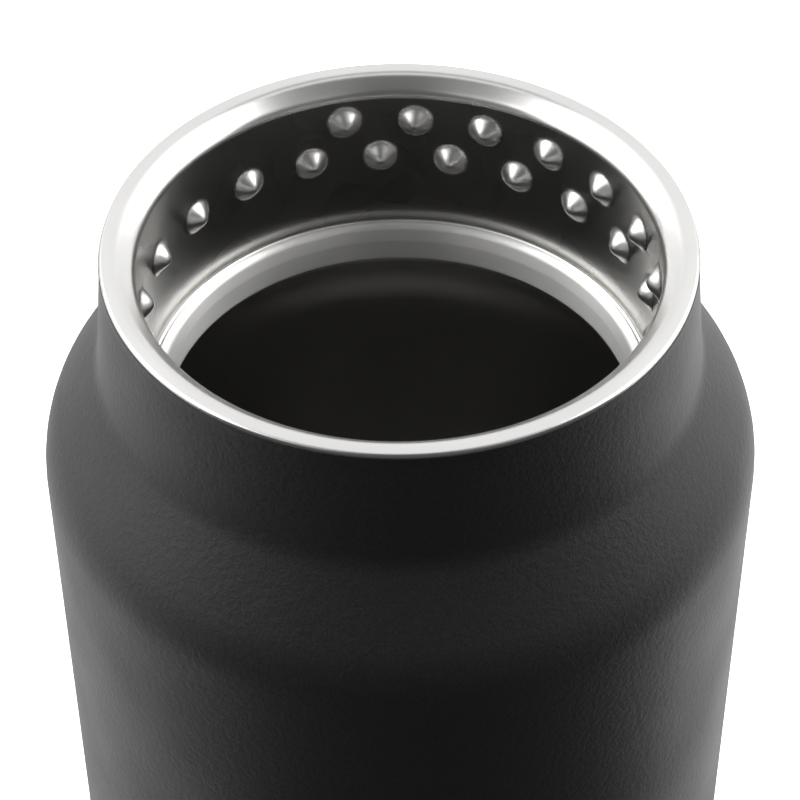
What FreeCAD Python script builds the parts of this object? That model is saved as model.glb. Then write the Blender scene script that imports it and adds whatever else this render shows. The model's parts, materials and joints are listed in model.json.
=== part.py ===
"""A wide-mouth growler: a double-walled vacuum bottle with a dimpled thread inside its mouth.

Millimetres, +Z up. The origin is the centre of the base, where the soft foot ring meets the table.
The mouth opens upward. Bearings are measured clockwise from +Y when seen from above.
"""
import FreeCAD, Part
import math
import os

# Whole bottle. The rim height is that of the lip's corner before it is rounded
RIM_HEIGHT = 242.0
BODY_RADIUS = 62.35
SHELL_THICKNESS = 0.8
LINER_THICKNESS = 0.7

# Outer shell: a neck that widens a little downward, the shoulder, and the stepped-in lower edge
NECK_TOP_RADIUS = 49.75
NECK_TAPER_DEPTH = 2.2
NECK_TAPER_ARC = 8.0
NECK_FOOT_RADIUS = 51.6
NECK_BEND_DEPTH = 22.4
NECK_BEND_ARC = 8.4
SHOULDER_BEND_DEPTH = 39.2
SHOULDER_BEND_ARC = 20.2
SHELL_EDGE_HEIGHT = 1.5
EDGE_STEP = 1.5
EDGE_STEP_LOW = 7.0
EDGE_STEP_HIGH = 10.0
EDGE_STEP_ARC = 3.0

# Mouth ring: a steel lip that closes over the shell's top edge, then the threaded wall
LIP_RADIUS = 49.6
LIP_SKIRT = 0.65
LIP_OUTER_ROUND = 0.5
LIP_CROWN_RADIUS = 46.85
LIP_CROWN_ROUND = 2.5
LIP_CONE_DROP = 2.65
LIP_INNER_ROUND = 2.5
THREAD_WALL_RADIUS = 43.8
SLEEVE_DEPTH = 31.7
SLEEVE_FLANGE_RADIUS = 43.3
SLEEVE_CORNER_ARC = 0.4
SLEEVE_THICKNESS = 0.8

# Dimples: cones with round tips, pressed inward along one right-hand helix
DIMPLE_COUNT = 32
DIMPLES_PER_TURN = 21.5
DIMPLE_PITCH = 8.0
DIMPLE_START_BEARING = -12.7
DIMPLE_START_DEPTH = 8.15
DIMPLE_BASE_RADIUS = 2.9
DIMPLE_RISE = 2.2
DIMPLE_TIP_ROUND = 1.5
DIMPLE_ROOT = 1.2

# Liner: seal seat with a round crest, throat, shoulder and wall
SEAT_RADIUS = 43.0
SEAT_DEPTH = 30.7
SEAT_OUTER_ROUND = 0.7
SEAT_FOOT_LEAN = 0.1
SEAT_FOOT_ROUND = 0.1
SEAT_INNER_RADIUS = 41.3
SEAT_FALL = 0.45
SEAT_INNER_ROUND = 1.3
THROAT_RADIUS = 40.8
THROAT_TAPER_DEPTH = 34.2
THROAT_TAPER_ARC = 4.0
THROAT_END_DEPTH = 39.0
THROAT_END_ARC = 3.0
LINER_RADIUS = 57.4
LINER_BEND_DEPTH = 56.0
LINER_BEND_ARC = 22.0
LINER_SEAM_HEIGHT = 26.0
LINER_FLOOR_HEIGHT = 13.7
LINER_FLOOR_ARC = 8.0

# Foil in the vacuum gap
FOIL_GAP = 0.05
FOIL_THICKNESS = 0.25
FOIL_LOW = 30.0
FOIL_TOP_DEPTH = 70.0

# Vacuum closure
CLOSURE_RADIUS = BODY_RADIUS - EDGE_STEP - SHELL_THICKNESS
CLOSURE_TOP = 7.0
CLOSURE_CORNER_ARC = 1.5
PORT_RECESS_RADIUS = 7.0
PORT_SEAT_RADIUS = 4.8
PORT_RECESS_RISE = 2.0
PORT_HOLE_RADIUS = 1.2
SEAL_RADIUS = 3.6
SEAL_DROP = 1.3

# Getter
GETTER_OFFSET = 30.0
PELLET_RADIUS = 4.3
PELLET_THICKNESS = 2.2
CLIP_LENGTH = 12.0
CLIP_INNER_WIDTH = 8.8
CLIP_THICKNESS = 0.4
CLIP_FOLD = 1.4

# Base cover and foot ring
COVER_RADIUS = 58.4
COVER_THICKNESS = 0.6
COVER_CORNER_ARC = 1.6
PAD_THICKNESS = 1.2
PAD_OUTER_RADIUS = 54.0
PAD_INNER_RADIUS = 42.0
PAD_EDGE_ROUND = 0.4

AXIS = FreeCAD.Vector(0, 0, 1)
ORIGIN = FreeCAD.Vector(0, 0, 0)


def at(radius, height):
    """A point of a half-section: radius along +X, height along +Z."""
    return FreeCAD.Vector(radius, 0, height)


def depth(distance):
    """The height of a point that lies this far below the rim."""
    return RIM_HEIGHT - distance


def rounded_edges(corners):
    """The edges of an open outline through (radius, height, round) corners, each rounded by its own arc."""
    points = [at(radius, height) for radius, height, _ in corners]
    edges = []
    last = points[0]
    for before, point, after, corner in zip(points[:-2], points[1:-1], points[2:], corners[1:-1]):
        arc_radius = corner[2]
        inward = (before - point).normalize()
        outward = (after - point).normalize()
        half_angle = inward.getAngle(outward) / 2
        reach = arc_radius / math.tan(half_angle)
        start = point + inward * reach
        end = point + outward * reach
        bisector = (inward + outward).normalize()
        middle = point + bisector * (arc_radius / math.sin(half_angle) - arc_radius)
        edges.append(Part.makeLine(last, start))
        if arc_radius > 0:
            edges.append(Part.Arc(start, middle, end).toShape())
        last = end
    edges.append(Part.makeLine(last, points[-1]))
    return edges


def shifted_corners(corners, thickness):
    """The same corners moved to the left of their direction by the sheet's thickness."""
    points = [at(radius, height) for radius, height, _ in corners]
    ahead = [(after - before).normalize() for before, after in zip(points[:-1], points[1:])]
    shifted = []
    for point, corner, arriving, leaving in zip(points, corners, ahead[:1] + ahead, ahead + ahead[-1:]):
        side = at(-arriving.z - leaving.z, arriving.x + leaving.x)
        moved = point + side * (thickness / (1 + arriving.dot(leaving)))
        turn = arriving.x * leaving.z - arriving.z * leaving.x
        arc_radius = corner[2] - math.copysign(thickness, turn) if corner[2] > 0 else 0
        shifted.append((moved.x, moved.z, max(arc_radius, 0)))
    return shifted


def turned(face):
    """A half-section turned once round the bottle's axis."""
    return face.revolve(ORIGIN, AXIS, 360)


def turned_sheet(corners, thickness):
    """A turned sheet whose face follows the corners; it thickens to the left of their direction."""
    back = shifted_corners(corners, thickness)[::-1]
    face_edges = rounded_edges(corners)
    back_edges = rounded_edges(back)
    first_end = Part.makeLine(at(*corners[-1][:2]), at(*back[0][:2]))
    last_end = Part.makeLine(at(*back[-1][:2]), at(*corners[0][:2]))
    return turned(Part.Face(Part.Wire(face_edges + [first_end] + back_edges + [last_end])))


def turned_outline(points):
    """A turned solid whose closed half-section has straight sides."""
    return turned(Part.Face(Part.makePolygon(points + [points[0]])))


def one_solid(shape):
    """The single solid inside a shape made by a boolean operation."""
    return shape.removeSplitter().Solids[0]


def outer_shell():
    """The painted wall: stepped-in edge, straight body, domed shoulder, and the neck."""
    edge_radius = BODY_RADIUS - EDGE_STEP
    return turned_sheet([
        (edge_radius, SHELL_EDGE_HEIGHT, 0),
        (edge_radius, EDGE_STEP_LOW, EDGE_STEP_ARC),
        (BODY_RADIUS, EDGE_STEP_HIGH, EDGE_STEP_ARC),
        (BODY_RADIUS, depth(SHOULDER_BEND_DEPTH), SHOULDER_BEND_ARC),
        (NECK_FOOT_RADIUS, depth(NECK_BEND_DEPTH), NECK_BEND_ARC),
        (NECK_TOP_RADIUS, depth(NECK_TAPER_DEPTH), NECK_TAPER_ARC),
        (NECK_TOP_RADIUS, depth(LIP_SKIRT), 0),
    ], SHELL_THICKNESS)


def dimple_outline(wall_side, tip_side, base_radius, tip_round):
    """A round-tipped cone turned about +X, from wall_side inward to tip_side."""
    slope = math.atan2(wall_side - tip_side, base_radius - tip_round)
    tip_centre = tip_side + tip_round
    touch_x = tip_centre - tip_round * math.cos(slope)
    touch_y = tip_round * math.sin(slope)
    middle_x = tip_centre - tip_round * math.cos(slope / 2)
    middle_y = tip_round * math.sin(slope / 2)
    tip = FreeCAD.Vector(tip_side, 0, 0)
    touch = FreeCAD.Vector(touch_x, touch_y, 0)
    base = FreeCAD.Vector(wall_side, base_radius, 0)
    foot = FreeCAD.Vector(wall_side, 0, 0)
    edges = [
        Part.Arc(tip, FreeCAD.Vector(middle_x, middle_y, 0), touch).toShape(),
        Part.makeLine(touch, base),
        Part.makeLine(base, foot),
        Part.makeLine(foot, tip),
    ]
    return Part.Face(Part.Wire(edges)).revolve(ORIGIN, FreeCAD.Vector(1, 0, 0), 360)


def place_dimple(shape, index):
    """A dimple moved from +X to its own place along the helix."""
    turn = index / DIMPLES_PER_TURN
    bearing = DIMPLE_START_BEARING + 360 * turn
    placed = shape.copy()
    placed.rotate(ORIGIN, AXIS, 90 - bearing)
    placed.translate(FreeCAD.Vector(0, 0, depth(DIMPLE_START_DEPTH + DIMPLE_PITCH * turn)))
    return placed


def mouth_sleeve():
    """The bright lip and the threaded wall below it, with a flange turned in at the bottom."""
    sleeve = turned_sheet([
        (LIP_RADIUS, depth(LIP_SKIRT), 0),
        (LIP_RADIUS, depth(0), LIP_OUTER_ROUND),
        (LIP_CROWN_RADIUS, depth(0), LIP_CROWN_ROUND),
        (THREAD_WALL_RADIUS, depth(LIP_CONE_DROP), LIP_INNER_ROUND),
        (THREAD_WALL_RADIUS, depth(SLEEVE_DEPTH), SLEEVE_CORNER_ARC),
        (SLEEVE_FLANGE_RADIUS, depth(SLEEVE_DEPTH), 0),
    ], SLEEVE_THICKNESS)
    outer_wall = THREAD_WALL_RADIUS + SLEEVE_THICKNESS
    tip = THREAD_WALL_RADIUS - DIMPLE_RISE
    boss = dimple_outline(THREAD_WALL_RADIUS + SLEEVE_THICKNESS / 2, tip, DIMPLE_BASE_RADIUS, DIMPLE_TIP_ROUND)
    pocket = dimple_outline(outer_wall + DIMPLE_ROOT, tip + SLEEVE_THICKNESS, DIMPLE_BASE_RADIUS,
                            DIMPLE_TIP_ROUND / 2)
    bosses = [place_dimple(boss, index) for index in range(DIMPLE_COUNT)]
    pockets = [place_dimple(pocket, index) for index in range(DIMPLE_COUNT)]
    return one_solid(sleeve.fuse(bosses).cut(pockets))


def inner_liner():
    """The polished throat with its round seal seat, the inner shoulder and the straight inner wall."""
    flange_depth = SLEEVE_DEPTH + SLEEVE_THICKNESS
    return turned_sheet([
        (THREAD_WALL_RADIUS + SLEEVE_THICKNESS, depth(flange_depth), 0),
        (SEAT_RADIUS + SEAT_FOOT_LEAN, depth(flange_depth), SEAT_FOOT_ROUND),
        (SEAT_RADIUS, depth(SEAT_DEPTH), SEAT_OUTER_ROUND),
        (SEAT_INNER_RADIUS, depth(SEAT_DEPTH + SEAT_FALL), SEAT_INNER_ROUND),
        (THROAT_RADIUS, depth(THROAT_TAPER_DEPTH), THROAT_TAPER_ARC),
        (THROAT_RADIUS, depth(THROAT_END_DEPTH), THROAT_END_ARC),
        (LINER_RADIUS, depth(LINER_BEND_DEPTH), LINER_BEND_ARC),
        (LINER_RADIUS, LINER_SEAM_HEIGHT, 0),
    ], LINER_THICKNESS)


def liner_bottom():
    """The inner floor, a pressed cup butt-welded to the liner's wall."""
    return turned_sheet([
        (LINER_RADIUS, LINER_SEAM_HEIGHT, 0),
        (LINER_RADIUS, LINER_FLOOR_HEIGHT, LINER_FLOOR_ARC),
        (0, LINER_FLOOR_HEIGHT, 0),
    ], LINER_THICKNESS)


def reflective_foil():
    """The foil wound round the liner's wall, drawn thicker than real foil."""
    inner = LINER_RADIUS + LINER_THICKNESS + FOIL_GAP
    outer = inner + FOIL_THICKNESS
    top = depth(FOIL_TOP_DEPTH)
    return turned_outline([at(inner, FOIL_LOW), at(outer, FOIL_LOW), at(outer, top), at(inner, top)])


def shell_bottom():
    """The structural bottom: a skirt inside the shell's edge and a plate with the pumping port."""
    recess_top = CLOSURE_TOP + PORT_RECESS_RISE
    return turned_sheet([
        (CLOSURE_RADIUS, SHELL_EDGE_HEIGHT, 0),
        (CLOSURE_RADIUS, CLOSURE_TOP, CLOSURE_CORNER_ARC),
        (PORT_RECESS_RADIUS, CLOSURE_TOP, 1.0),
        (PORT_SEAT_RADIUS, recess_top, 1.0),
        (PORT_HOLE_RADIUS, recess_top, 0),
    ], SHELL_THICKNESS)


def port_seal():
    """The glass bead that fills the port's hole and hangs below it as a shallow cap."""
    hole_top = CLOSURE_TOP + PORT_RECESS_RISE
    seat = hole_top - SHELL_THICKNESS
    bottom = seat - SEAL_DROP
    sphere_radius = (SEAL_RADIUS ** 2 + SEAL_DROP ** 2) / (2 * SEAL_DROP)
    half_angle = math.asin(SEAL_RADIUS / sphere_radius) / 2
    middle = at(sphere_radius * math.sin(half_angle), bottom + sphere_radius * (1 - math.cos(half_angle)))
    edges = [
        Part.Arc(at(0, bottom), middle, at(SEAL_RADIUS, seat)).toShape(),
        Part.makeLine(at(SEAL_RADIUS, seat), at(PORT_HOLE_RADIUS, seat)),
        Part.makeLine(at(PORT_HOLE_RADIUS, seat), at(PORT_HOLE_RADIUS, hole_top)),
        Part.makeLine(at(PORT_HOLE_RADIUS, hole_top), at(0, hole_top)),
        Part.makeLine(at(0, hole_top), at(0, bottom)),
    ]
    return turned(Part.Face(Part.Wire(edges)))


def getter_clip():
    """A folded steel channel, spot-welded to the closure, whose edges turn in over the pellet."""
    outer_width = CLIP_INNER_WIDTH + 2 * CLIP_THICKNESS
    wall_height = PELLET_THICKNESS + 2 * CLIP_THICKNESS
    corner = FreeCAD.Vector(GETTER_OFFSET - CLIP_LENGTH / 2, -outer_width / 2, CLOSURE_TOP)
    channel = Part.makeBox(CLIP_LENGTH, outer_width, wall_height, corner)
    inside = Part.makeBox(
        CLIP_LENGTH, CLIP_INNER_WIDTH, PELLET_THICKNESS,
        corner + FreeCAD.Vector(0, CLIP_THICKNESS, CLIP_THICKNESS))
    slot = Part.makeBox(
        CLIP_LENGTH, CLIP_INNER_WIDTH - 2 * CLIP_FOLD, wall_height,
        corner + FreeCAD.Vector(0, CLIP_THICKNESS + CLIP_FOLD, CLIP_THICKNESS))
    return one_solid(channel.cut([inside, slot]))


def getter_pellet():
    """The getter disc held in the clip."""
    base = FreeCAD.Vector(GETTER_OFFSET, 0, CLOSURE_TOP + CLIP_THICKNESS)
    return Part.makeCylinder(PELLET_RADIUS, PELLET_THICKNESS, base)


def base_cover():
    """The shallow steel cap over the port, welded up against the closure's plate."""
    return turned_sheet([
        (COVER_RADIUS, CLOSURE_TOP - SHELL_THICKNESS, 0),
        (COVER_RADIUS, PAD_THICKNESS, COVER_CORNER_ARC),
        (0, PAD_THICKNESS, 0),
    ], -COVER_THICKNESS)


def base_pad():
    """The soft foot ring under the cover."""
    pad = turned_outline([
        at(PAD_INNER_RADIUS, 0), at(PAD_OUTER_RADIUS, 0),
        at(PAD_OUTER_RADIUS, PAD_THICKNESS), at(PAD_INNER_RADIUS, PAD_THICKNESS)])
    lower_edges = [edge for edge in pad.Edges if edge.BoundBox.ZMax < PAD_THICKNESS / 2]
    return pad.makeFillet(PAD_EDGE_ROUND, lower_edges)


SUB_PARTS = (
    outer_shell, mouth_sleeve, inner_liner, liner_bottom, reflective_foil, shell_bottom,
    port_seal, getter_clip, getter_pellet, base_cover, base_pad,
)

os.makedirs("parts", exist_ok=True)
for sub_part in SUB_PARTS:
    shape = sub_part()
    shape.exportStep("parts/" + sub_part.__name__ + ".step")
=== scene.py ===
"""An open wide-mouth growler: dark powder-coated shell, bright steel rim, dimpled thread, polished throat.

Metres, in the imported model's own frame: +Z up, origin at the centre of the base, the mouth open upward.
Bearings are measured clockwise from +Y when seen from above. Outlines are half-sections of
(radius, height, round) corners; a lathe turns each one round the bottle's axis.
"""

import json
import math

import bmesh
import bpy
from mathutils import Matrix, Vector


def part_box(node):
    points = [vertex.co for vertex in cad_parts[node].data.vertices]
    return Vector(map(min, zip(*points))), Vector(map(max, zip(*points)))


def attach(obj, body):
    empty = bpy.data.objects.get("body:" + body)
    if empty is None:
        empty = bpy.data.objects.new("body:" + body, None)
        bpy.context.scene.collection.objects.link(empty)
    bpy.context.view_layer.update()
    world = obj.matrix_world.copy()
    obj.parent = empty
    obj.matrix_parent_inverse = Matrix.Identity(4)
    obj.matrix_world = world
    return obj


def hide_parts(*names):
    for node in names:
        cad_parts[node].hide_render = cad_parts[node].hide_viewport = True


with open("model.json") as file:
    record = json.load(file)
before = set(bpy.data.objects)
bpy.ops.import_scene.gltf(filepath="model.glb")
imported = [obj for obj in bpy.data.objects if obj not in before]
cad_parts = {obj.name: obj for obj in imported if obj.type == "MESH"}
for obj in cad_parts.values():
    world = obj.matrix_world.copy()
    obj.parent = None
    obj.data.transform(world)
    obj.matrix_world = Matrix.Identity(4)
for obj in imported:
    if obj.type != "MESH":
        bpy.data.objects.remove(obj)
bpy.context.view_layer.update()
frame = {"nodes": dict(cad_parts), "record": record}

MM = 0.001


# ---------------------------------------------------------------- dimensions, taken from the frame

def mount_radius(name):
    """The stated radius, in metres, of one of the record's round mounts."""
    mount = next(entry for entry in frame["record"]["mounts"] if entry["name"] == name)
    return mount["dims"]["r_mm"] * MM


SHELL_LOW, SHELL_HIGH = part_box("outer_shell")
SLEEVE_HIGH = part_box("mouth_sleeve")[1]
LINER_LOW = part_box("inner_liner")[0]
FLOOR_LOW, FLOOR_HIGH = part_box("liner_bottom")
COVER_LOW, COVER_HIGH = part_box("base_cover")
PAD_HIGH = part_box("base_pad")[1]

BODY_RADIUS = mount_radius("body_wall")
THROAT_RADIUS = mount_radius("throat_bore")
SHELL_TOP = SHELL_HIGH[2]
RIM = SLEEVE_HIGH[2]
LIP_RADIUS = SLEEVE_HIGH[0]


def down(distance_mm):
    """The height of a point that lies this many millimetres below the rim."""
    return RIM - distance_mm * MM


# Outer shell: stepped-in lower edge, shoulder, and a neck that widens a little downward
SHELL_THICKNESS = 0.8 * MM
EDGE_STEP = 1.5 * MM
EDGE_STEP_LOW = 7.0 * MM
EDGE_STEP_HIGH = 10.0 * MM
EDGE_STEP_ARC = 3.0 * MM
SHOULDER_BEND = down(39.2)
SHOULDER_BEND_ARC = 20.2 * MM
NECK_FOOT_RADIUS = 51.6 * MM
NECK_BEND = down(22.4)
NECK_BEND_ARC = 8.4 * MM
NECK_TOP_RADIUS = LIP_RADIUS + 0.15 * MM
NECK_TAPER_END = down(2.2)
NECK_TAPER_ARC = 8.0 * MM
COAT_EDGE_ROUND = 0.18 * MM

# Mouth ring: the lip, a cone down to the threaded wall, and a narrow flange turned in at the bottom
SLEEVE_THICKNESS = 0.8 * MM
LIP_OUTER_ROUND = 0.5 * MM
LIP_CROWN_RADIUS = 46.85 * MM
LIP_CROWN_ROUND = 2.5 * MM
LIP_CONE_END = down(2.65)
LIP_INNER_ROUND = 2.5 * MM
BRUSHING_END = down(3.0)
THREAD_WALL_RADIUS = 43.8 * MM
SLEEVE_BOTTOM = down(31.7)
SLEEVE_CORNER_ARC = 0.4 * MM
SLEEVE_FLANGE_RADIUS = 43.3 * MM

# Liner: the seal seat's round crest, the throat, the shoulder, the wall and the floor
LINER_THICKNESS = 0.7 * MM
SEAT_FOOT = down(32.5)
SEAT_FOOT_RADIUS = 43.1 * MM
SEAT_FOOT_ROUND = 0.1 * MM
SEAT_TOP = down(30.7)
SEAT_RADIUS = 43.0 * MM
SEAT_OUTER_ROUND = 0.7 * MM
SEAT_INNER_EDGE = down(31.15)
SEAT_INNER_RADIUS = 41.3 * MM
SEAT_INNER_ROUND = 1.3 * MM
THROAT_TOP = down(34.2)
THROAT_TOP_ARC = 4.0 * MM
THROAT_END = down(39.0)
THROAT_END_ARC = 3.0 * MM
# Above this height the liner takes the seat steel: a real rough, anisotropic finish with a painted highlight
# in its near-white colour.
SEAT_FINISH_AND_HIGHLIGHT_END = down(38.4)
LINER_RADIUS = 57.4 * MM
LINER_BEND = down(56.0)
LINER_BEND_ARC = 22.0 * MM
LINER_FLOOR_ARC = 8.0 * MM

# Base cover and foot ring
COVER_THICKNESS = 0.6 * MM
COVER_CORNER_ARC = 1.6 * MM
PAD_INNER_RADIUS = 42.0 * MM
PAD_EDGE_ROUND = 0.4 * MM

# Dimples: one right-hand helix of round-tipped cones. Reach and margin are in base radii: how far a
# dimple bends the wall, and how far its fine rows go. A wall face past the foot rise is a dimple's.
DIMPLE_COUNT = 32
DIMPLES_PER_TURN = 21.5
DIMPLE_PITCH = 8.0 * MM
DIMPLE_START_BEARING = math.radians(-12.7)
DIMPLE_START_DEPTH = 8.15 * MM
DIMPLE_BASE_RADIUS = 2.9 * MM
DIMPLE_RISE = 2.2 * MM
DIMPLE_TIP_SOFTNESS = 0.85
DIMPLE_FOOT_SOFTNESS = 0.14
DIMPLE_REACH = 1.2
DIMPLE_MARGIN = 1.25
DIMPLE_FOOT_RISE = 0.12 * MM

# Mesh fineness: faces round the axis, row spacing, and the rows where the fine dimple band thins out
SEGMENTS = 256
THREAD_SEGMENTS = 1024
THREAD_ROW_STEP = 0.28 * MM
BAND_STEP_NEAR = 0.4 * MM
BAND_STEP_FAR = 0.9 * MM
FINE_STEP = 2 * MM
THROAT_STEP = 4 * MM
FLOOR_STEP = 6 * MM
WALL_STEP = 8 * MM
ARC_STEP = math.radians(6)
SHARP_ANGLE = math.radians(35)
AXIS_TOLERANCE = 1e-6

# Surface detail: where most noise values fall, and how the steel's lines are drawn (around, across)
NOISE_LOW, NOISE_HIGH = 0.3, 0.7
BRUSHED = (60, 5000)
POLISHED = (8, 1500)
CLOUD_SHADE = 0.96
QUARTER_TURN = 0.25

# Stage, lights and camera; the camera's distances are worked out from the neck's radius
FLOOR_HALF_WIDTH = 6.0
BACKDROP_RADIUS = 8.0
TABLE_GLOW_WIDTH = 0.60
TABLE_GLOW_LENGTH = 1.00
TABLE_GLOW_HEIGHT = 2 * MM
ROOM_COLOR = (0.09, 0.09, 0.092, 1)
CAMERA_BACK = 6.850 * NECK_TOP_RADIUS
CAMERA_RISE = 5.865 * NECK_TOP_RADIUS
CAMERA_PITCH = math.radians(43.82)
CAMERA_LEAN = math.radians(-0.34)
CAMERA_LENS = 121.8
CAMERA_SENSOR = 36.0


# ---------------------------------------------------------------- lathe

def shifted_corners(corners, thickness):
    """The same corners moved to the left of their direction by the sheet's thickness."""
    points = [Vector((radius, height)) for radius, height, _ in corners]
    ahead = [(after - before).normalized() for before, after in zip(points[:-1], points[1:])]
    shifted = []
    for point, corner, arriving, leaving in zip(points, corners, ahead[:1] + ahead, ahead + ahead[-1:]):
        side = Vector((-arriving.y - leaving.y, arriving.x + leaving.x))
        moved = point + side * (thickness / (1 + arriving.dot(leaving)))
        turn = arriving.x * leaving.y - arriving.y * leaving.x
        arc_radius = corner[2] - math.copysign(thickness, turn) if corner[2] > 0 else 0
        shifted.append((moved.x, moved.y, max(arc_radius, 0)))
    return shifted


def outline_points(corners):
    """The corners as (radius, height) points, with each rounded corner drawn as short chords of its arc."""
    points = [Vector((radius, height)) for radius, height, _ in corners]
    drawn = [points[0]]
    for before, point, after, corner in zip(points[:-2], points[1:-1], points[2:], corners[1:-1]):
        arc_radius = corner[2]
        inward = (before - point).normalized()
        outward = (after - point).normalized()
        half_angle = inward.angle(outward) / 2
        sweep = math.pi - 2 * half_angle
        if arc_radius <= 0:
            drawn.append(point)
            continue
        bisector = (inward + outward).normalized()
        centre = point + bisector * (arc_radius / math.sin(half_angle))
        start = point + inward * (arc_radius / math.tan(half_angle)) - centre
        turn = math.copysign(1, -inward.x * outward.y + inward.y * outward.x)
        chords = max(3, math.ceil(sweep / ARC_STEP))
        for step in range(chords + 1):
            angle = turn * sweep * step / chords
            drawn.append(centre + Vector((
                start.x * math.cos(angle) - start.y * math.sin(angle),
                start.x * math.sin(angle) + start.y * math.cos(angle))))
    drawn.append(points[-1])
    return drawn


def with_rows_between(points, longest):
    """The same outline with extra points wherever two neighbours stand further apart than longest."""
    dense = [points[0]]
    for before, after in zip(points[:-1], points[1:]):
        pieces = max(1, math.ceil((after - before).length / longest))
        dense.extend(before.lerp(after, piece / pieces) for piece in range(1, pieces + 1))
    return dense


def ring(mesh, radius, height, segments, shape):
    """One row of vertices; a row on the axis is a single vertex."""
    if radius < AXIS_TOLERANCE:
        return [mesh.verts.new((0, 0, height))]
    row = []
    for segment in range(segments):
        bearing = 2 * math.pi * segment / segments
        here = shape(radius, bearing, height) if shape else radius
        row.append(mesh.verts.new((here * math.sin(bearing), here * math.cos(bearing), height)))
    return row


def join_rows(mesh, row, following):
    """Faces between two rows, whose counts are equal, two to one, or one at a pole."""
    if len(row) == 1 or len(following) == 1:
        pole, circle = (row, following) if len(row) == 1 else (following, row)
        for index in range(len(circle)):
            ahead = circle[(index + 1) % len(circle)]
            mesh.faces.new((pole[0], circle[index], ahead))
        return
    fine, coarse = (row, following) if len(row) >= len(following) else (following, row)
    ratio = len(fine) // len(coarse)
    for index in range(len(coarse)):
        fan = [fine[(index * ratio + step) % len(fine)] for step in range(ratio + 1)]
        mesh.faces.new(fan + [coarse[(index + 1) % len(coarse)], coarse[index]])


def lathe(name, rows, material):
    """A closed solid of revolution from rows of (radius, height, segments, shape)."""
    mesh = bmesh.new()
    rings = [ring(mesh, *row) for row in rows]
    for row, following in zip(rings, rings[1:] + rings[:1]):
        if not (len(row) == 1 and len(following) == 1):
            join_rows(mesh, row, following)
    bmesh.ops.recalc_face_normals(mesh, faces=mesh.faces)
    if mesh.calc_volume(signed=True) < 0:
        bmesh.ops.reverse_faces(mesh, faces=mesh.faces)
    data = bpy.data.meshes.new(name)
    mesh.to_mesh(data)
    mesh.free()
    data.shade_smooth()
    data.set_sharp_from_angle(angle=SHARP_ANGLE)
    data.materials.append(material)
    piece = bpy.data.objects.new(name, data)
    bpy.context.scene.collection.objects.link(piece)
    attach(piece, "root")
    return piece


def plain_rows(points):
    """Lathe rows for undimpled outline points."""
    return [(point.x, point.y, SEGMENTS, None) for point in points]


def turned_sheet(name, corners, thickness, material, longest):
    """A turned sheet whose face follows the corners; it thickens to the left of their direction."""
    face = with_rows_between(outline_points(corners), longest)
    back = with_rows_between(outline_points(shifted_corners(corners, thickness)), longest)
    return lathe(name, plain_rows(face + back[::-1]), material)


# ---------------------------------------------------------------- materials

def new_material(name):
    """A node material and its Principled shader."""
    material = bpy.data.materials.new(name)
    material.use_nodes = True
    return material, material.node_tree.nodes["Principled BSDF"]


def node(material, kind, **settings):
    """A new shader node with its settings."""
    made = material.node_tree.nodes.new(kind)
    for key, value in settings.items():
        setattr(made, key, value)
    return made


def link(material, source, target):
    """Join an output socket to an input socket."""
    material.node_tree.links.new(source, target)


def noise(material, vector, scale, detail=2.0, roughness=0.5):
    """A noise texture read at a vector; returns its value socket."""
    texture = node(material, "ShaderNodeTexNoise")
    texture.inputs["Scale"].default_value = scale
    texture.inputs["Detail"].default_value = detail
    texture.inputs["Roughness"].default_value = roughness
    link(material, vector, texture.inputs["Vector"])
    return texture.outputs["Fac"]


def spread(material, value, low, high):
    """A noise value mapped linearly from its usual range to low..high."""
    mapped = node(material, "ShaderNodeMapRange")
    mapped.inputs["From Min"].default_value = NOISE_LOW
    mapped.inputs["From Max"].default_value = NOISE_HIGH
    mapped.inputs["To Min"].default_value = low
    mapped.inputs["To Max"].default_value = high
    link(material, value, mapped.inputs["Value"])
    return mapped.outputs["Result"]


def tint(material, value, dark, light):
    """A noise value as a colour between two colours."""
    ramp = node(material, "ShaderNodeValToRGB")
    first, last = ramp.color_ramp.elements
    first.position = NOISE_LOW
    last.position = NOISE_HIGH
    first.color = (*dark, 1)
    last.color = (*light, 1)
    link(material, value, ramp.inputs["Fac"])
    return ramp.outputs["Color"]


def bump(material, value, depth, normal=None):
    """A bump of the given depth in metres, on top of another bump's normal if there is one."""
    made = node(material, "ShaderNodeBump")
    made.inputs["Distance"].default_value = depth
    link(material, value, made.inputs["Height"])
    if normal:
        link(material, normal, made.inputs["Normal"])
    return made.outputs["Normal"]


def object_position(material):
    """The shaded point's place in the piece's own space."""
    return node(material, "ShaderNodeTexCoord").outputs["Object"]


def turned_position(material, around, across):
    """Position as (bearing, radius, height), scaled so that noise on it is drawn out round the axis."""
    split = node(material, "ShaderNodeSeparateXYZ")
    link(material, object_position(material), split.inputs["Vector"])
    bearing = node(material, "ShaderNodeMath", operation="ARCTAN2")
    link(material, split.outputs["Y"], bearing.inputs[0])
    link(material, split.outputs["X"], bearing.inputs[1])
    flat = node(material, "ShaderNodeCombineXYZ")
    link(material, split.outputs["X"], flat.inputs["X"])
    link(material, split.outputs["Y"], flat.inputs["Y"])
    radius = node(material, "ShaderNodeVectorMath", operation="LENGTH")
    link(material, flat.outputs["Vector"], radius.inputs[0])
    joined = node(material, "ShaderNodeCombineXYZ")
    link(material, bearing.outputs["Value"], joined.inputs["X"])
    link(material, radius.outputs["Value"], joined.inputs["Y"])
    link(material, split.outputs["Z"], joined.inputs["Z"])
    scaled = node(material, "ShaderNodeVectorMath", operation="MULTIPLY")
    scaled.inputs[1].default_value = (around, across, across)
    link(material, joined.outputs["Vector"], scaled.inputs[0])
    return scaled.outputs["Vector"]


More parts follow.
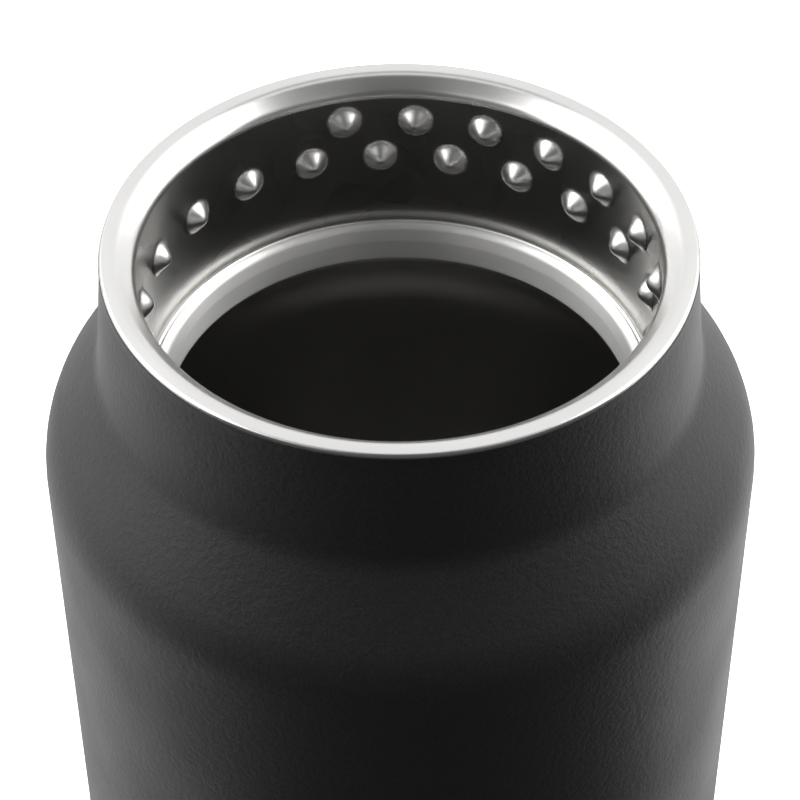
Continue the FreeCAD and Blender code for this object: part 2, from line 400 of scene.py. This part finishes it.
def powder_coat():
    """Matt charcoal powder coat: orange peel, a finer grain, and faint mottling."""
    material, shader = new_material("powder_coat")
    place = object_position(material)
    peel = noise(material, place, scale=900)
    grain = noise(material, place, scale=2600, roughness=0.6)
    mottle = noise(material, place, scale=40, detail=3.0)
    link(material, tint(material, grain, (0.012, 0.012, 0.0125), (0.026, 0.026, 0.0265)),
         shader.inputs["Base Color"])
    link(material, spread(material, mottle, 0.50, 0.58), shader.inputs["Roughness"])
    shader.inputs["Specular IOR Level"].default_value = 0.4
    normal = bump(material, grain, 0.05 * MM, bump(material, peel, 0.09 * MM))
    link(material, normal, shader.inputs["Normal"])
    return material


def steel(name, color, roughness, lines, line_depth, anisotropy=0.0):
    """Stainless steel with fine lines round the axis; anisotropy spreads its highlights across them."""
    material, shader = new_material(name)
    streaks = noise(material, turned_position(material, *lines), scale=1.0, detail=3.0)
    clouds = noise(material, object_position(material), scale=70, detail=1.0)
    darker = tuple(channel * CLOUD_SHADE for channel in color)
    link(material, tint(material, clouds, darker, color), shader.inputs["Base Color"])
    shader.inputs["Metallic"].default_value = 1.0
    shader.inputs["Anisotropic"].default_value = anisotropy
    link(material, spread(material, clouds, *roughness), shader.inputs["Roughness"])
    link(material, bump(material, streaks, line_depth), shader.inputs["Normal"])
    if anisotropy:
        tangent = node(material, "ShaderNodeTangent", direction_type="RADIAL", axis="Z")
        link(material, tangent.outputs["Tangent"], shader.inputs["Tangent"])
        shader.inputs["Anisotropic Rotation"].default_value = QUARTER_TURN
    return material


POWDER = powder_coat()
LIP_STEEL = steel("lip_steel", (0.70, 0.695, 0.68), (0.28, 0.30), BRUSHED, 0.0005 * MM, 0.3)
MIRROR_STEEL = steel("mirror_steel", (0.54, 0.535, 0.52), (0.27, 0.28), POLISHED, 0.0003 * MM)
# The dimples' copy of the steel is lighter than the wall's: its satin roughness is real, its lighter colour
# is a painted highlight.
DIMPLE_STEEL_PAINTED_HIGHLIGHT = steel("dimple_steel_painted_highlight", (0.78, 0.775, 0.76), (0.33, 0.34), POLISHED, 0.0004 * MM)
# The seat's copy of the steel is nearly white: its rough, anisotropic finish is real, its brightness is a
# painted highlight.
SEAT_STEEL_PAINTED_HIGHLIGHT = steel("seat_steel_painted_highlight", (0.88, 0.875, 0.86), (0.44, 0.46), POLISHED, 0.0006 * MM, 0.85)
# The liner's copy of the steel is darker than the rest: painted shade for the deep inside of the bottle.
LINER_STEEL_PAINTED_SHADE = steel("liner_steel_painted_shade", (0.44, 0.435, 0.425), (0.35, 0.37), POLISHED, 0.001 * MM)
SATIN_STEEL = steel("satin_steel", (0.55, 0.545, 0.53), (0.30, 0.38), BRUSHED, 0.003 * MM, 0.4)


def copper_foil():
    """Bright copper foil with shallow creases."""
    material, shader = new_material("copper_foil")
    creases = noise(material, object_position(material), scale=90, detail=5.0, roughness=0.65)
    link(material, tint(material, creases, (0.60, 0.28, 0.16), (0.80, 0.43, 0.28)),
         shader.inputs["Base Color"])
    link(material, spread(material, creases, 0.18, 0.32), shader.inputs["Roughness"])
    link(material, bump(material, creases, 0.4 * MM), shader.inputs["Normal"])
    shader.inputs["Metallic"].default_value = 1.0
    return material


def seal_glass():
    """Dark brown solder glass."""
    material, shader = new_material("seal_glass")
    swirl = noise(material, object_position(material), scale=700, detail=4.0)
    link(material, tint(material, swirl, (0.10, 0.055, 0.03), (0.18, 0.11, 0.07)),
         shader.inputs["Base Color"])
    link(material, spread(material, swirl, 0.08, 0.16), shader.inputs["Roughness"])
    return material


def getter_alloy():
    """Sintered grey metal."""
    material, shader = new_material("getter_alloy")
    pores = noise(material, object_position(material), scale=3000, detail=4.0, roughness=0.7)
    link(material, tint(material, pores, (0.10, 0.10, 0.11), (0.26, 0.26, 0.27)),
         shader.inputs["Base Color"])
    link(material, spread(material, pores, 0.55, 0.75), shader.inputs["Roughness"])
    link(material, bump(material, pores, 0.08 * MM), shader.inputs["Normal"])
    shader.inputs["Metallic"].default_value = 0.7
    return material


def pad_rubber():
    """Matt black silicone with a dusty bloom."""
    material, shader = new_material("pad_rubber")
    bloom = noise(material, object_position(material), scale=260, detail=4.0)
    link(material, tint(material, bloom, (0.012, 0.012, 0.012), (0.028, 0.028, 0.028)),
         shader.inputs["Base Color"])
    link(material, spread(material, bloom, 0.55, 0.72), shader.inputs["Roughness"])
    pimples = noise(material, object_position(material), scale=2500)
    link(material, bump(material, pimples, 0.03 * MM), shader.inputs["Normal"])
    return material


# ---------------------------------------------------------------- pieces

def build_shell():
    """The painted wall, with the coat rolled over a small round at its top edge."""
    edge_radius = BODY_RADIUS - EDGE_STEP
    corners = [
        (edge_radius, SHELL_LOW[2], 0),
        (edge_radius, EDGE_STEP_LOW, EDGE_STEP_ARC),
        (BODY_RADIUS, EDGE_STEP_HIGH, EDGE_STEP_ARC),
        (BODY_RADIUS, SHOULDER_BEND, SHOULDER_BEND_ARC),
        (NECK_FOOT_RADIUS, NECK_BEND, NECK_BEND_ARC),
        (NECK_TOP_RADIUS, NECK_TAPER_END, NECK_TAPER_ARC),
    ]
    rolled_top = [
        (NECK_TOP_RADIUS, SHELL_TOP, COAT_EDGE_ROUND),
        (NECK_TOP_RADIUS - SHELL_THICKNESS, SHELL_TOP, 0),
    ]
    plain_top = [(NECK_TOP_RADIUS, SHELL_TOP, 0)]
    back_corners = shifted_corners(corners + plain_top, SHELL_THICKNESS)
    face = with_rows_between(outline_points(corners + rolled_top), WALL_STEP)
    back = with_rows_between(outline_points(back_corners), WALL_STEP)
    piece = lathe("powder_coated_shell", plain_rows(face + back[-2::-1]), POWDER)
    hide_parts("outer_shell")


def dimple_height(distance):
    """How far a dimple stands out at a distance from its centre: a cone with a soft foot and a round tip."""
    def soft_cone(share):
        foot = math.hypot(1.0, DIMPLE_TIP_SOFTNESS)
        cone = foot - math.hypot(share, DIMPLE_TIP_SOFTNESS)
        return 0.5 * (cone + math.hypot(cone, DIMPLE_FOOT_SOFTNESS))

    share = distance / DIMPLE_BASE_RADIUS
    if share >= DIMPLE_REACH:
        return 0.0
    edge = soft_cone(DIMPLE_REACH)
    return DIMPLE_RISE * (soft_cone(share) - edge) / (soft_cone(0.0) - edge)


DIMPLES = [
    (DIMPLE_START_BEARING + 2 * math.pi * index / DIMPLES_PER_TURN,
     RIM - DIMPLE_START_DEPTH - DIMPLE_PITCH * index / DIMPLES_PER_TURN)
    for index in range(DIMPLE_COUNT)
]


def dimpled(radius, bearing, height):
    """The wall's radius where a dimple presses it inward."""
    for centre_bearing, centre_height in DIMPLES:
        rise = height - centre_height
        if abs(rise) > DIMPLE_REACH * DIMPLE_BASE_RADIUS:
            continue
        swing = math.remainder(bearing - centre_bearing, 2 * math.pi)
        distance = math.hypot(swing * THREAD_WALL_RADIUS, rise)
        if distance < DIMPLE_REACH * DIMPLE_BASE_RADIUS:
            return radius - dimple_height(distance)
    return radius


def build_sleeve():
    """The lip, the dimpled wall on a fine grid, the flange, and the plain back of the wall."""
    corners = [
        (LIP_RADIUS, SHELL_TOP, 0),
        (LIP_RADIUS, RIM, LIP_OUTER_ROUND),
        (LIP_CROWN_RADIUS, RIM, LIP_CROWN_ROUND),
        (THREAD_WALL_RADIUS, LIP_CONE_END, LIP_INNER_ROUND),
        (THREAD_WALL_RADIUS, SLEEVE_BOTTOM, SLEEVE_CORNER_ARC),
        (SLEEVE_FLANGE_RADIUS, SLEEVE_BOTTOM, 0),
    ]
    band_top = DIMPLES[0][1] + DIMPLE_MARGIN * DIMPLE_BASE_RADIUS
    band_bottom = DIMPLES[-1][1] - DIMPLE_MARGIN * DIMPLE_BASE_RADIUS
    face = outline_points(corners)
    above = [point for point in face if point.y > band_top]
    below = [point for point in face if point.y < band_bottom]
    rows = plain_rows(with_rows_between(above, FINE_STEP))
    rows += [(THREAD_WALL_RADIUS, band_top + BAND_STEP_FAR, SEGMENTS, None),
             (THREAD_WALL_RADIUS, band_top + BAND_STEP_NEAR, 2 * SEGMENTS, None)]
    count = math.ceil((band_top - band_bottom) / THREAD_ROW_STEP)
    for index in range(count + 1):
        height = band_top + (band_bottom - band_top) * index / count
        rows.append((THREAD_WALL_RADIUS, height, THREAD_SEGMENTS, dimpled))
    rows += [(THREAD_WALL_RADIUS, band_bottom - BAND_STEP_NEAR, 2 * SEGMENTS, None),
             (THREAD_WALL_RADIUS, band_bottom - BAND_STEP_FAR, SEGMENTS, None)]
    rows += plain_rows(with_rows_between(below, FINE_STEP))
    rows += plain_rows(outline_points(shifted_corners(corners, SLEEVE_THICKNESS))[::-1])
    piece = lathe("dimpled_mouth_ring", rows, LIP_STEEL)
    piece.data.materials.append(MIRROR_STEEL)
    piece.data.materials.append(DIMPLE_STEEL_PAINTED_HIGHLIGHT)
    mirror_index, dimple_index = 1, 2
    # Faces on the dimples take the lighter steel: a painted highlight on top of their real satin finish.
    dimple_foot = THREAD_WALL_RADIUS - DIMPLE_FOOT_RISE
    for polygon in piece.data.polygons:
        if polygon.center.z < BRUSHING_END:
            on_dimple = polygon.center.xy.length < dimple_foot
            polygon.material_index = dimple_index if on_dimple else mirror_index
    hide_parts("mouth_sleeve")


def build_liner():
    """The seal seat, the throat, the inner shoulder and the inner wall."""
    corners = [
        (THREAD_WALL_RADIUS + SLEEVE_THICKNESS, SEAT_FOOT, 0),
        (SEAT_FOOT_RADIUS, SEAT_FOOT, SEAT_FOOT_ROUND),
        (SEAT_RADIUS, SEAT_TOP, SEAT_OUTER_ROUND),
        (SEAT_INNER_RADIUS, SEAT_INNER_EDGE, SEAT_INNER_ROUND),
        (THROAT_RADIUS, THROAT_TOP, THROAT_TOP_ARC),
        (THROAT_RADIUS, THROAT_END, THROAT_END_ARC),
        (LINER_RADIUS, LINER_BEND, LINER_BEND_ARC),
        (LINER_RADIUS, LINER_LOW[2], 0),
    ]
    # The deep liner wall is the darkened steel: painted shade.
    piece = turned_sheet(
        "polished_liner", corners, LINER_THICKNESS, LINER_STEEL_PAINTED_SHADE, THROAT_STEP)
    piece.data.materials.append(SEAT_STEEL_PAINTED_HIGHLIGHT)
    seat_highlight_index = 1
    # The seat band gets the near-white steel: painted highlight over a real rough finish.
    for polygon in piece.data.polygons:
        if polygon.center.z > SEAT_FINISH_AND_HIGHLIGHT_END:
            polygon.material_index = seat_highlight_index
    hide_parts("inner_liner")


def build_liner_floor():
    """The inner floor with its wide corner radius."""
    floor = FLOOR_LOW[2] + LINER_THICKNESS
    corners = [
        (LINER_RADIUS, FLOOR_HIGH[2], 0),
        (LINER_RADIUS, floor, LINER_FLOOR_ARC),
        (0, floor, 0),
    ]
    # The inner floor is the darkened steel too: painted shade.
    piece = turned_sheet("liner_floor", corners, LINER_THICKNESS, LINER_STEEL_PAINTED_SHADE, FLOOR_STEP)
    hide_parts("liner_bottom")


def build_base():
    """The pressed base cover and the foot ring."""
    cover_corners = [
        (COVER_HIGH[0], COVER_HIGH[2], 0),
        (COVER_HIGH[0], COVER_LOW[2], COVER_CORNER_ARC),
        (0, COVER_LOW[2], 0),
    ]
    cover = turned_sheet(
        "pressed_base_cover", cover_corners, -COVER_THICKNESS, SATIN_STEEL, FLOOR_STEP)
    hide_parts("base_cover")
    outer, top = PAD_HIGH[0], PAD_HIGH[2]
    pad_corners = [
        (PAD_INNER_RADIUS, top, 0),
        (PAD_INNER_RADIUS, 0, PAD_EDGE_ROUND),
        (outer, 0, PAD_EDGE_ROUND),
        (outer, top, 0),
    ]
    pad = lathe("foot_ring", plain_rows(outline_points(pad_corners)), pad_rubber())
    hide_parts("base_pad")


def finish_hidden_nodes():
    """Materials for the CAD pieces inside the vacuum space, which keep their own meshes."""
    inside = {
        "reflective_foil": copper_foil(),
        "shell_bottom": SATIN_STEEL,
        "port_seal": seal_glass(),
        "getter_clip": SATIN_STEEL,
        "getter_pellet": getter_alloy(),
    }
    for name, material in inside.items():
        for slot in frame["nodes"][name].material_slots:
            slot.material = material


# ---------------------------------------------------------------- stage

def build_floor():
    """A wide pale floor that reads as white, lights nothing and isn't mirrored in the steel."""
    material, shader = new_material("pale_floor")
    soft = noise(material, object_position(material), scale=3.0)
    link(material, tint(material, soft, (0.88, 0.88, 0.88), (0.90, 0.90, 0.90)),
         shader.inputs["Base Color"])
    shader.inputs["Roughness"].default_value = 0.9
    shader.inputs["Specular IOR Level"].default_value = 0.1
    shader.inputs["Emission Color"].default_value = (1, 1, 1, 1)
    shader.inputs["Emission Strength"].default_value = 0.75
    data = bpy.data.meshes.new("floor")
    half = FLOOR_HALF_WIDTH
    corners = [(-half, -half, 0), (half, -half, 0), (half, half, 0), (-half, half, 0)]
    data.from_pydata(corners, [], [(0, 1, 2, 3)])
    data.materials.append(material)
    floor = bpy.data.objects.new("floor", data)
    floor.visible_diffuse = False
    floor.visible_glossy = False
    bpy.context.scene.collection.objects.link(floor)


def build_backdrop():
    """A pale wall all round, far away; it is only seen, and lights nothing."""
    material, shader = new_material("pale_backdrop")
    soft = noise(material, object_position(material), scale=0.5)
    link(material, tint(material, soft, (0.90, 0.90, 0.90), (0.93, 0.93, 0.93)),
         shader.inputs["Emission Color"])
    shader.inputs["Emission Strength"].default_value = 1.0
    shader.inputs["Base Color"].default_value = (0.02, 0.02, 0.02, 1)
    mesh = bmesh.new()
    bmesh.ops.create_uvsphere(mesh, u_segments=48, v_segments=24, radius=BACKDROP_RADIUS)
    data = bpy.data.meshes.new("backdrop")
    mesh.to_mesh(data)
    mesh.free()
    data.materials.append(material)
    backdrop = bpy.data.objects.new("backdrop", data)
    backdrop.visible_diffuse = False
    backdrop.visible_glossy = False
    backdrop.visible_transmission = False
    backdrop.visible_shadow = False
    bpy.context.scene.collection.objects.link(backdrop)


def area_light(name, width, length, radiance, location, rotation):
    """A rectangular soft light of the given radiance, which the camera doesn't see."""
    light = bpy.data.lights.new(name, "AREA")
    light.shape = "RECTANGLE"
    light.size = width
    light.size_y = length
    light.energy = radiance * math.pi * width * length
    lamp = bpy.data.objects.new(name, light)
    lamp.location = location
    lamp.rotation_euler = rotation
    lamp.visible_camera = False
    bpy.context.scene.collection.objects.link(lamp)


def softbox(name, bearing, elevation, distance, width, height, radiance):
    """A light that faces the rim from a bearing and an elevation, both in degrees."""
    bearing = math.radians(bearing)
    elevation = math.radians(elevation)
    level = math.cos(elevation)
    away = Vector((math.sin(bearing) * level, math.cos(bearing) * level, math.sin(elevation)))
    location = Vector((0, 0, RIM)) + away * distance
    area_light(name, width, height, radiance, location, away.to_track_quat("Z", "Y").to_euler())


def table_glow(name, across, away, radiance):
    """A light that lies on the table and faces up, for the table's own brightness."""
    location = (across, away, TABLE_GLOW_HEIGHT)
    area_light(name, TABLE_GLOW_WIDTH, TABLE_GLOW_LENGTH, radiance, location, (math.pi, 0, 0))


def light_scene():
    """A broad screen behind, boxes at the sides, front, top and high sides, two table glows, a dim room."""
    softbox("back_screen", bearing=0, elevation=34, distance=1.3, width=2.8, height=1.5, radiance=1.03)
    softbox("left_side", bearing=-88, elevation=24, distance=0.6, width=0.7, height=0.7, radiance=2.4)
    softbox("right_side", bearing=80, elevation=24, distance=0.6, width=0.6, height=0.7, radiance=2.4)
    softbox("left_front", bearing=-138, elevation=42, distance=1.0, width=0.5, height=0.5, radiance=0.5)
    softbox("right_front", bearing=138, elevation=42, distance=1.0, width=0.5, height=0.5, radiance=0.3)
    softbox("overhead", bearing=0, elevation=86, distance=0.8, width=0.7, height=0.30, radiance=1.0)
    softbox("left_high", bearing=-66, elevation=42, distance=0.7, width=0.50, height=0.45, radiance=4.0)
    softbox("right_high", bearing=66, elevation=42, distance=0.7, width=0.45, height=0.45, radiance=4.0)
    table_glow("left_table", across=-0.40, away=0.42, radiance=1.5)
    table_glow("right_table", across=0.41, away=0.48, radiance=1.9)
    world = bpy.data.worlds.new("room")
    world.use_nodes = True
    world.node_tree.nodes["Background"].inputs["Color"].default_value = ROOM_COLOR
    bpy.context.scene.world = world


def place_camera():
    """Above and in front of the open mouth, looking down at 44 degrees, leaning a little to one side."""
    camera = bpy.data.cameras.new("camera")
    camera.sensor_width = CAMERA_SENSOR
    camera.lens = CAMERA_LENS
    stand = bpy.data.objects.new("camera", camera)
    stand.location = (0, -CAMERA_BACK, SHELL_TOP + CAMERA_RISE)
    tilt = Matrix.Rotation(math.radians(90) - CAMERA_PITCH, 3, "X")
    lean = Matrix.Rotation(CAMERA_LEAN, 3, "Z")
    stand.rotation_euler = (tilt @ lean).to_euler()
    bpy.context.scene.collection.objects.link(stand)
    bpy.context.scene.camera = stand


place_camera()
build_shell()
build_sleeve()
build_liner()
build_liner_floor()
build_base()
finish_hidden_nodes()
build_floor()
build_backdrop()
light_scene()
bpy.context.scene.view_settings.view_transform = "Standard"
